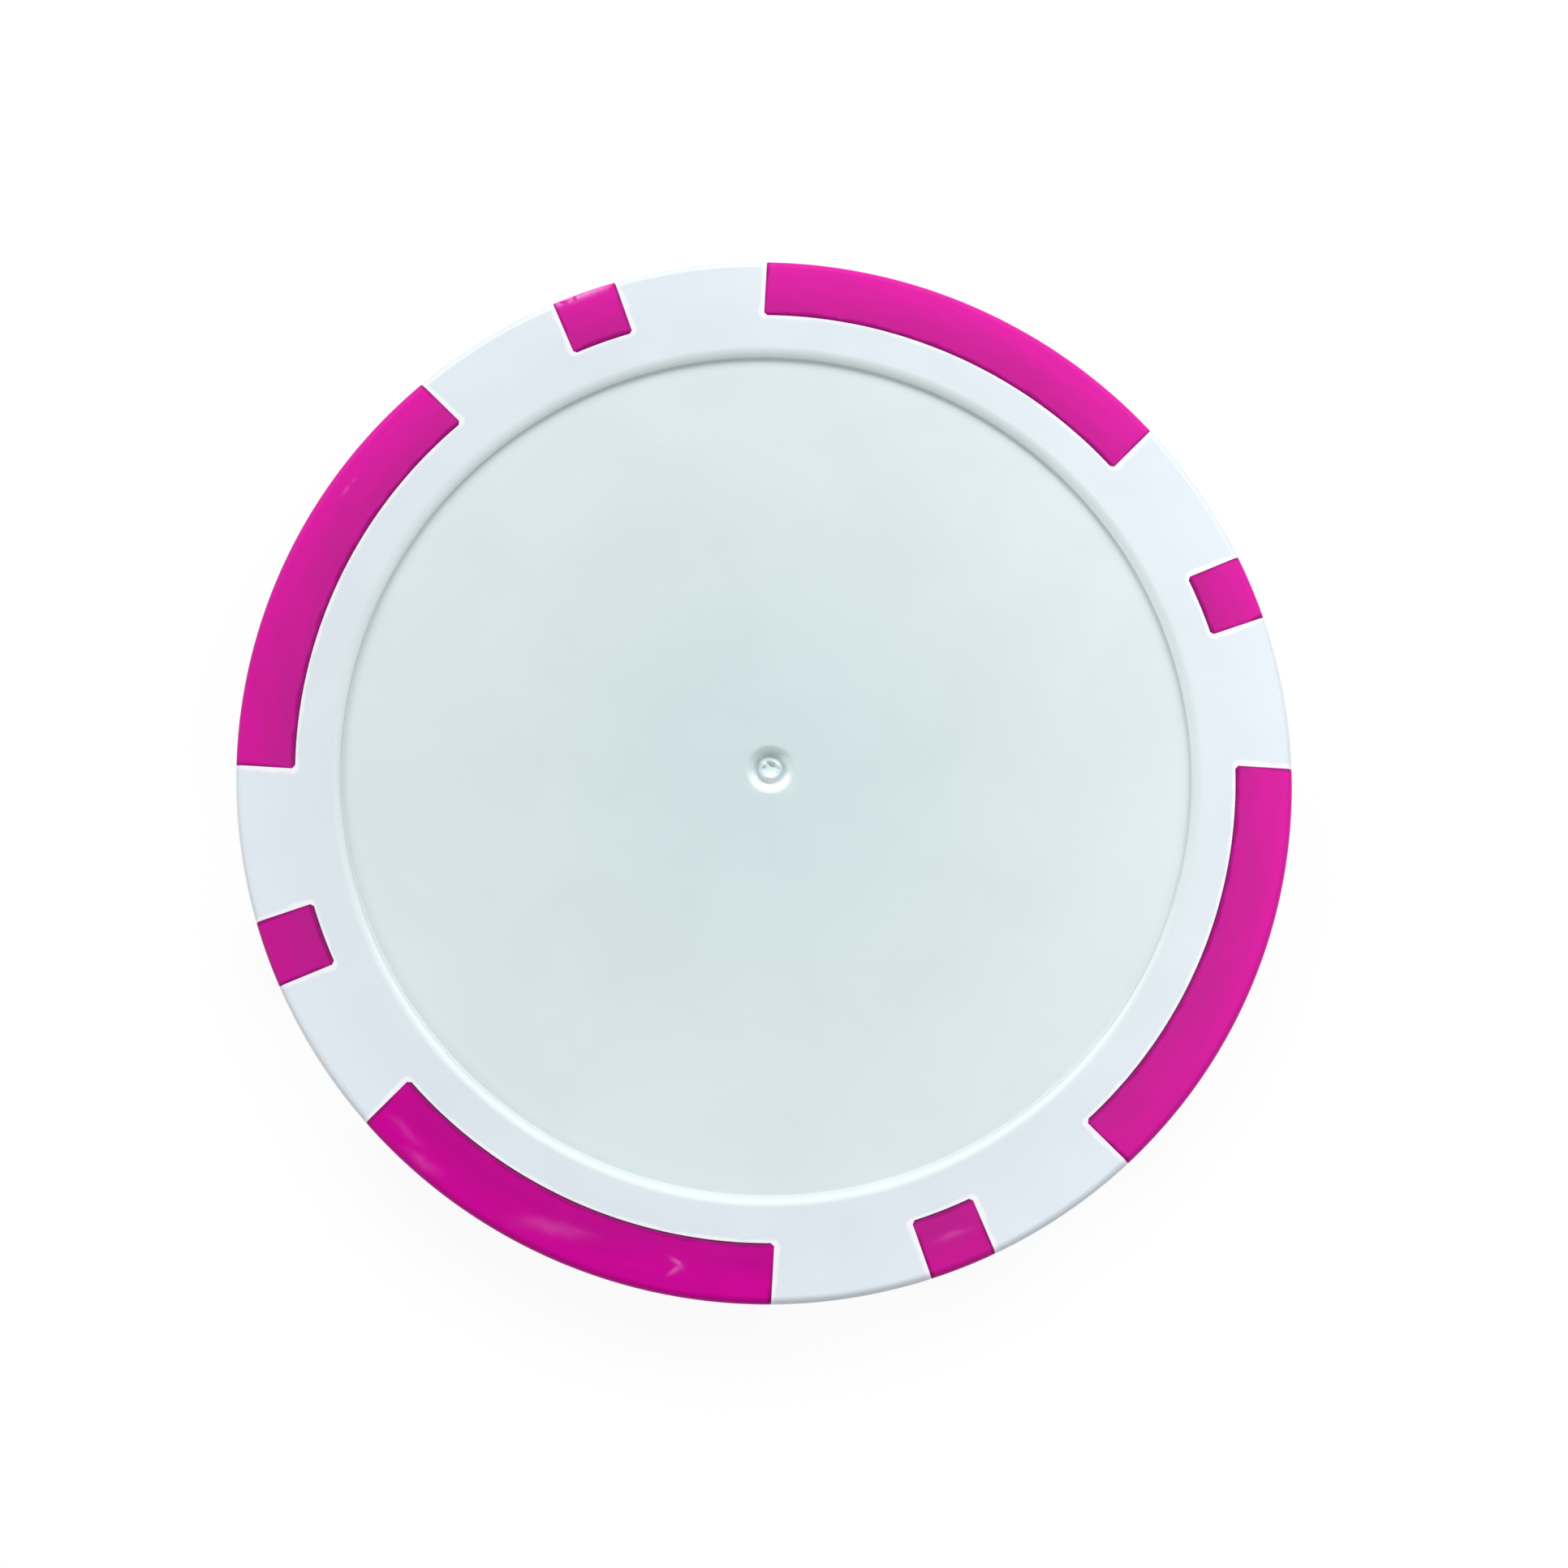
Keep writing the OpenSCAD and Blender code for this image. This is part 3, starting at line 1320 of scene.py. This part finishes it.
@dataclass(frozen=True)
class WhitePlastic(Finish):
    """Cool white glossy plastic, greyer over the slug and whiter towards the rim's edge, with painted shade
    and highlights.
    """

    rim: Colour = (0.76, 0.83, 0.893)
    web: Colour = (0.64, 0.763, 0.79)
    web_edge: Colour = (0.72, 0.815, 0.833)
    shoulder: Colour = (0.735, 0.832, 0.846)
    # painted highlight: bright halo on the white round each spot
    spot_halo_highlight: Colour = (0.98, 0.965, 1.0)
    # painted highlight for the gate: lit near wall of the dimple, shaded ring by the stub, top of the stub
    gate_highlight_tone: Colour = (0.97, 1.0, 0.99)
    # painted shade for the gate dimple's far wall
    gate_shade_tone: Colour = (0.3, 0.32, 0.28)
    # where the painted highlight lies at the gate
    gate_painted_highlights: tuple[ColourMark, ...] = (
        ColourMark(place=(0.31, -0.52), turn=24, length=0.6, width=0.27, strength=0.95),
        ColourMark(place=(-0.35, -0.53), turn=-36, length=0.28, width=0.16, strength=0.9),
        ColourMark(place=(0.77, -0.05), turn=84, length=0.28, width=0.14, strength=0.9),
        ColourMark(place=(0.17, -0.2), turn=24, length=0.22, width=0.13, strength=0.8),
        ColourMark(place=(0.21, 0.34), turn=-21, length=0.18, width=0.07, strength=0.8),
    )
    # where the painted shade lies in the gate's dimple, over its far wall and round its left side
    gate_painted_shades: tuple[ColourMark, ...] = (
        ColourMark(place=(-0.13, 0.52), turn=24, length=0.55, width=0.2, strength=0.42),
        ColourMark(place=(-0.46, 0.08), turn=100, length=0.32, width=0.12, strength=0.34),
        ColourMark(place=(0.54, 0.32), turn=125, length=0.26, width=0.1, strength=0.25),
    )
    wall_fade: Pair = (-0.03, 0.03)
    shoulder_fade: Pair = (0.15, 0.6)
    edge_fade: Pair = (17.4, 19.6)
    edge_tone: float = 1.03
    web_fade: Pair = (1.0, 15.0)
    # painted shade on the recess floor near the foot of its wall: where it starts and ends, and how dark
    corner_fade: Pair = (0.5, 0.05)
    corner_shade: float = 0.94
    # painted highlight halo: where it fades outwards from a spot's outline, and how strong it is
    spot_halo_fade: Pair = (-0.19, -0.06)
    spot_halo_share: float = 0.9
    cloud_fade: Pair = (0.3, 0.7)
    clouding: float = 0.015
    gloss: float = 0.2
    dulling: float = 0.2
    rub: float = 0.1
    relief_depth: float = 2.0e-6

    def material(self, sizes: ChipSizes, effects: Effects) -> bpy.types.Material:
        """Builds the material.

        Args:
            sizes: the chip's sizes.
            effects: the shared shader groups.

        Returns:
            The material.
        """
        material, sketch, shader = new_material("white_abs")
        point = sketch.add("TexCoord").outputs["Object"]
        place = sketch.place(effects.place, Point=point)
        radius = place.outputs["Radius"]
        seam = sketch.place(effects.seam, Point=point, Radius=radius, Angle=place.outputs["Angle"])
        skin = sketch.place(effects.skin, Point=point, Rub=self.rub)
        web = sketch.mix(sketch.band(radius, *self.web_fade), self.web, self.web_edge)
        # painted shade in the corner at the foot of the recess wall
        corner_start, corner_end = (sizes.recess_radius - inset for inset in self.corner_fade)
        web = sketch.shaded(web, sketch.band(radius, corner_start, corner_end, 1.0, self.corner_shade))
        # lays the painted highlight and the painted shade on the recess floor at the gate
        for tone, colour_marks in ((self.gate_highlight_tone, self.gate_painted_highlights), (self.gate_shade_tone, self.gate_painted_shades)):
            web = sketch.mix(sketch.marks(point, colour_marks, sizes.floor_height), web, tone)
        past_wall = sketch.math("SUBTRACT", radius, sizes.recess_radius)
        colour = sketch.mix(sketch.band(past_wall, *self.wall_fade), web, self.shoulder)
        colour = sketch.mix(sketch.band(past_wall, *self.shoulder_fade), colour, self.rim)
        colour = sketch.shaded(colour, sketch.band(radius, *self.edge_fade, 1.0, self.edge_tone))
        # painted highlight: a bright halo on the white along each spot's outline
        spot_halo = sketch.band(seam.outputs["Inside"], *self.spot_halo_fade, 0.0, self.spot_halo_share)
        colour = sketch.mix(spot_halo, colour, self.spot_halo_highlight)
        clouding = (1.0 - self.clouding, 1.0 + self.clouding)
        cloud = sketch.band(skin.outputs["Cloud"], *self.cloud_fade, *clouding)
        sketch.feed(shader.inputs["Base Color"], sketch.shaded(colour, cloud))
        self.surface(sketch, shader, skin.outputs["Dulling"], skin.outputs["Relief"])
        return material


@dataclass(frozen=True)
class MagentaPlastic(Finish):
    """Magenta plastic with faint flow streaks along each spot and painted light, lighter towards +Y and
    deepest in the long spot on -Y.
    """

    deep: Colour = (0.58, 0.014, 0.3)
    light: Colour = (0.715, 0.01, 0.36)
    # dark magenta painted as shade just inside each spot's outline
    edge: Colour = (0.27, 0.002, 0.15)
    # painted light: how much lighter towards +Y and darker towards -Y
    painted_light_drift: float = 0.11
    near_fade: Pair = (-16.4, -15.4)
    near_green: float = 0.05
    short_tone: float = 0.94
    # pale tone of the rubs, also of the painted glints
    pale: Colour = (0.95, 0.3, 0.75)
    # pale rubs and scratches on the spots
    colour_marks: tuple[ColourMark, ...] = (
        ColourMark(place=(-0.3, -18.95), turn=10, length=1.1, width=0.22, strength=0.13),
        ColourMark(place=(0.6, -18.7), turn=6, length=0.6, width=0.08, strength=0.1),
        ColourMark(place=(-5.6, -18.7), turn=-11, length=0.6, width=0.16, strength=0.12),
        ColourMark(place=(-6.7, -17.9), turn=-18, length=0.7, width=0.12, strength=0.08),
        ColourMark(place=(4.4, -18.28), turn=-8, length=0.25, width=0.07, strength=0.35),
        ColourMark(place=(4.46, -18.55), turn=55, length=0.26, width=0.07, strength=0.35),
        ColourMark(place=(13.3, -13.2), turn=40, length=0.5, width=0.1, strength=0.18),
        ColourMark(place=(-19.05, 3.1), turn=80, length=0.2, width=0.06, strength=0.17),
        ColourMark(place=(-18.9, 3.6), turn=84, length=0.14, width=0.05, strength=0.12),
    )
    # painted highlight: ragged pale glints along the worn outer edge of one short spot
    painted_edge_glints: tuple[ColourMark, ...] = (
        ColourMark(place=(-14.2, 13.95), turn=46, length=1.5, width=0.18, strength=0.9, depth=0.16),
    )
    scuff_waves: float = 1100.0
    scuff_reach: float = 0.2
    painted_glint_waves: float = 3200.0
    painted_glint_fade: Pair = (0.38, 0.54)
    flow_stretch: float = 0.22
    flow_scale: float = 1.6
    flow_detail: float = 4.0
    flow_warp: float = 0.6
    flow_fade: Pair = (0.3, 0.75)
    flow_share: float = 0.3
    # painted shade inside the spots' outlines: where it fades, and how strong it is at the outline
    border_fade: Pair = (0.05, 0.2)
    border_share: float = 0.75
    short_fade: Pair = (0.8, 0.95)
    gloss: float = 0.3
    dulling: float = 0.25
    rub: float = 0.4
    specular: float = 0.08
    relief_depth: float = 2.5e-6

    def material(self, sizes: ChipSizes, effects: Effects) -> bpy.types.Material:
        """Builds the material.

        Args:
            sizes: the chip's sizes.
            effects: the shared shader groups.

        Returns:
            The material.
        """
        material, sketch, shader = new_material("magenta_abs")
        point = sketch.add("TexCoord").outputs["Object"]
        place = sketch.place(effects.place, Point=point)
        radius = place.outputs["Radius"]
        angle = place.outputs["Angle"]
        seam = sketch.place(effects.seam, Point=point, Radius=radius, Angle=angle)
        skin = sketch.place(effects.skin, Point=point, Rub=self.rub)
        along = sketch.math("MULTIPLY", angle, sizes.spot_middle_radius * self.flow_stretch)
        flow_point = sketch.point(along, radius, place.outputs["Height"])
        flow = sketch.noise(flow_point, self.flow_scale, self.flow_detail, self.flow_warp)
        streaks = sketch.band(flow, *self.flow_fade, -self.flow_share, self.flow_share)
        outward = sketch.band(radius, sizes.spot_radius, sizes.radius)
        colour = sketch.mix(sketch.math("ADD", outward, streaks, clamp=True), self.deep, self.light)
        across = sketch.math("MULTIPLY", radius, sketch.math("SINE", angle))
        green = sketch.band(across, *self.near_fade, self.near_green, 1.0)
        colour = sketch.mix(1.0, colour, sketch.point(1.0, green, 1.0), "MULTIPLY")
        # painted highlight: ragged glints along one spot's worn edge
        ragged = sketch.band(sketch.noise(point, self.painted_glint_waves), *self.painted_glint_fade)
        painted_glint = sketch.math("MULTIPLY", sketch.marks(point, self.painted_edge_glints, sizes.thickness), ragged)
        stirred = sketch.stirred(point, self.scuff_waves, self.scuff_reach)
        pale = sketch.math("MAXIMUM", sketch.marks(stirred, self.colour_marks, sizes.thickness), painted_glint)
        colour = sketch.mix(pale, colour, self.pale)
        # painted shade: a dark line just inside each spot's outline
        painted_border_shade = sketch.band(seam.outputs["Inside"], *self.border_fade, self.border_share, 0.0)
        colour = sketch.mix(painted_border_shade, colour, self.edge)
        # painted light: lighter towards +Y, darker towards -Y
        shade = sketch.band(across, -sizes.radius, sizes.radius, 1.0 - self.painted_light_drift, 1.0 + self.painted_light_drift)
        half_turns = sketch.math("MULTIPLY", angle, sizes.spot_sets / 2)
        at_short = sketch.math("ABSOLUTE", sketch.math("SINE", half_turns))
        short_shade = sketch.band(at_short, *self.short_fade, 1.0, self.short_tone)
        colour = sketch.shaded(colour, sketch.math("MULTIPLY", shade, short_shade))
        sketch.feed(shader.inputs["Base Color"], colour)
        shader.inputs["Specular IOR Level"].default_value = self.specular
        self.surface(sketch, shader, skin.outputs["Dulling"], skin.outputs["Relief"])
        return material


@dataclass(frozen=True)
class SlugSteel(Finish):
    """Blanked steel sheet with the rolling marks left on it."""

    bright: Colour = (0.5, 0.52, 0.54)
    dark: Colour = (0.36, 0.37, 0.39)
    rolled_scale: Triple = (150.0, 6000.0, 6000.0)
    rolled_detail: float = 4.0
    blotch_scale: float = 300.0
    blotch_detail: float = 3.0
    blotch_fade: Pair = (0.3, 0.7)
    gloss: float = 0.34
    dulling: float = 0.2
    relief_depth: float = 4.0e-6

    def material(self) -> bpy.types.Material:
        """Builds the material.

        Returns:
            The material.
        """
        material, sketch, shader = new_material("slug_sheet_steel")
        point = sketch.add("TexCoord").outputs["Object"]
        rolled = sketch.add("Mapping")
        rolled.inputs["Scale"].default_value = self.rolled_scale
        sketch.feed(rolled.inputs["Vector"], point)
        lines = sketch.noise(rolled.outputs[0], 1.0, self.rolled_detail)
        blotches = sketch.noise(point, self.blotch_scale, self.blotch_detail)
        blotch = sketch.band(blotches, *self.blotch_fade)
        sketch.feed(shader.inputs["Base Color"], sketch.mix(blotch, self.dark, self.bright))
        shader.inputs["Metallic"].default_value = 1.0
        self.surface(sketch, shader, lines, lines)
        return material


@dataclass
class Slug:
    """The steel weight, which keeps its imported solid."""

    def dress(self, finish: bpy.types.Material) -> bpy.types.Object:
        """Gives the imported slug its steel.

        Args:
            finish: the steel.

        Returns:
            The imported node's object.
        """
        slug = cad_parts["steel_slug"]
        coat(slug, finish)
        return slug


@dataclass(frozen=True)
class Softbox:
    """One soft lamp that looks at the chip.

    Attributes:
        name: its name.
        azimuth: direction that it stands in, in degrees from +X.
        elevation: its height above the table, in degrees.
        distance: its distance, in metres.
        width: width of its face, in metres.
        height: height of its face, in metres.
        level: the brightness that it gives a white face that looks straight up.
    """

    name: str
    azimuth: float
    elevation: float
    distance: float
    width: float
    height: float
    level: float

    def build(self, aim: Vector) -> bpy.types.Object:
        """Stands the lamp in the scene.

        Args:
            aim: the point that it looks at.

        Returns:
            The lamp.
        """
        rise = math.radians(self.elevation)
        towards = math.cos(rise) * heading(math.radians(self.azimuth)) + Vector((0, 0, math.sin(rise)))
        data = bpy.data.lights.new(self.name, "AREA")
        data.shape = "RECTANGLE"
        data.size = self.width
        data.size_y = self.height
        data.energy = self.level * (math.pi * self.distance) ** 2 / math.sin(rise)
        lamp = bpy.data.objects.new(self.name, data)
        lamp.location = aim + self.distance * towards
        lamp.rotation_euler = (-towards).to_track_quat("-Z", "Y").to_euler()
        bpy.context.scene.collection.objects.link(lamp)
        return lamp


@dataclass
class Studio:
    """The floor, the light and the camera."""

    sizes: ChipSizes
    fill: float = 0.2
    floor_colour: float = 0.8
    floor_white: float = 0.88
    floor_glow: float = 1.05
    floor_radius: float = 3.0
    floor_segments: int = 96
    floor_gap: float = 1.0e-5
    sensor: float = 36.0
    lens: float = 67.28
    near_clip: float = 0.01
    aim: Triple = (0.779, -0.362, 3.3)
    distance: float = 110.59
    azimuth: float = -82.88
    elevation: float = 80.156
    roll: float = 16.941
    lamps: tuple[Softbox, ...] = (
        Softbox("far_window", azimuth=112, elevation=41, distance=2.0, width=4.2, height=1.1, level=0.737),
        Softbox("high_window", azimuth=98, elevation=64, distance=2.0, width=0.75, height=0.55, level=0.042),
        Softbox("left_wall", azimuth=220, elevation=36, distance=2.0, width=1.4, height=1.0, level=0.126),
        Softbox("right_lamp", azimuth=40, elevation=52, distance=0.14, width=0.12, height=0.12, level=0.205),
    )

    @staticmethod
    def seen_directly(sketch: Sketch) -> bpy.types.NodeSocket:
        """Tells a surface that is seen from one that only gives light.

        Args:
            sketch: what adds the nodes.

        Returns:
            1 where the camera sees it, also in a reflection or through glass, and 0 elsewhere.
        """
        path = sketch.add("LightPath").outputs
        mirrored = sketch.math("MAXIMUM", path["Is Glossy Ray"], path["Is Transmission Ray"])
        return sketch.math("MAXIMUM", path["Is Camera Ray"], mirrored)

    def floor(self) -> bpy.types.Object:
        """Lays the pale floor just under the chip.

        Returns:
            The floor.
        """
        disc = bmesh.new()
        bmesh.ops.create_circle(
            disc, cap_ends=True, segments=self.floor_segments, radius=self.floor_radius
        )
        bmesh.ops.translate(disc, vec=(0.0, 0.0, -self.floor_gap), verts=disc.verts)
        floor = temporary_object("floor", disc)
        material = bpy.data.materials.new("pale_floor")
        material.use_nodes = True
        material.node_tree.nodes.clear()
        sketch = Sketch(material.node_tree)
        paper = sketch.add("BsdfDiffuse")
        paper.inputs["Color"].default_value = (self.floor_colour,) * 3 + (1.0,)
        white = sketch.add("Emission")
        white.inputs["Strength"].default_value = self.floor_glow
        blend = sketch.add("MixShader")
        sketch.feed(blend.inputs[0], sketch.math("MULTIPLY", self.seen_directly(sketch), self.floor_white))
        sketch.feed(blend.inputs[1], paper.outputs[0])
        sketch.feed(blend.inputs[2], white.outputs[0])
        sketch.feed(sketch.add("OutputMaterial").inputs["Surface"], blend.outputs[0])
        floor.data.materials.append(material)
        return floor

    def world(self) -> None:
        """Fills the room with soft light, which shows as white."""
        world = bpy.data.worlds.new("white_room")
        world.use_nodes = True
        bpy.context.scene.world = world
        sketch = Sketch(world.node_tree)
        room = world.node_tree.nodes["Background"]
        room.inputs["Color"].default_value = (1.0, 1.0, 1.0, 1.0)
        level = sketch.math("MULTIPLY", self.seen_directly(sketch), 1.0 - self.fill)
        sketch.feed(room.inputs["Strength"], sketch.math("ADD", level, self.fill))

    def camera(self) -> bpy.types.Object:
        """Stands the camera over the near side of the chip, turned a little about its own axis.

        Returns:
            The camera.
        """
        rise = math.radians(self.elevation)
        back = math.cos(rise) * heading(math.radians(self.azimuth)) + Vector((0, 0, math.sin(rise)))
        data = bpy.data.cameras.new("camera")
        data.sensor_width = self.sensor
        data.lens = self.lens
        data.clip_start = self.near_clip
        camera = bpy.data.objects.new("camera", data)
        upright = (-back).to_track_quat("-Z", "Y").to_matrix()
        turned = upright @ Matrix.Rotation(math.radians(self.roll), 3, "Z")
        stand = MM * (Vector(self.aim) + self.distance * back)
        camera.matrix_world = Matrix.Translation(stand) @ turned.to_4x4()
        bpy.context.scene.collection.objects.link(camera)
        bpy.context.scene.camera = camera
        return camera

    def build(self) -> None:
        """Sets up the whole studio."""
        bpy.context.scene.view_settings.view_transform = "Standard"
        self.floor()
        self.world()
        for lamp in self.lamps:
            lamp.build(MM * Vector((0.0, 0.0, self.sizes.thickness)))
        self.camera()


def main() -> None:
    """Builds and dresses the chip's pieces in order, then the studio."""
    logging.basicConfig(level=logging.INFO, format="%(name)s: %(message)s")
    sizes = ChipSizes.from_frame()
    effects = Effects.make(sizes)
    white = WhitePlastic().material(sizes, effects)
    magenta = MagentaPlastic().material(sizes, effects)
    spots = [EdgeSpots(sizes, kind) for kind in SpotKind]
    for face in Face:
        shell = Shell(sizes, face)
        piece = shell.build(spots)
        shell.dress(piece, white)
        log.info("%s: %d faces", piece.name, len(piece.data.polygons))
    for kind in spots:
        for index in range(1, sizes.spot_sets + 1):
            piece = kind.build(index)
            kind.dress(piece, magenta)
            log.info("%s: %d faces", piece.name, len(piece.data.polygons))
    slug = Slug().dress(SlugSteel().material())
    log.info("%s: %d faces", slug.name, len(slug.data.polygons))
    Studio(sizes).build()


if __name__ == "__main__":
    main()
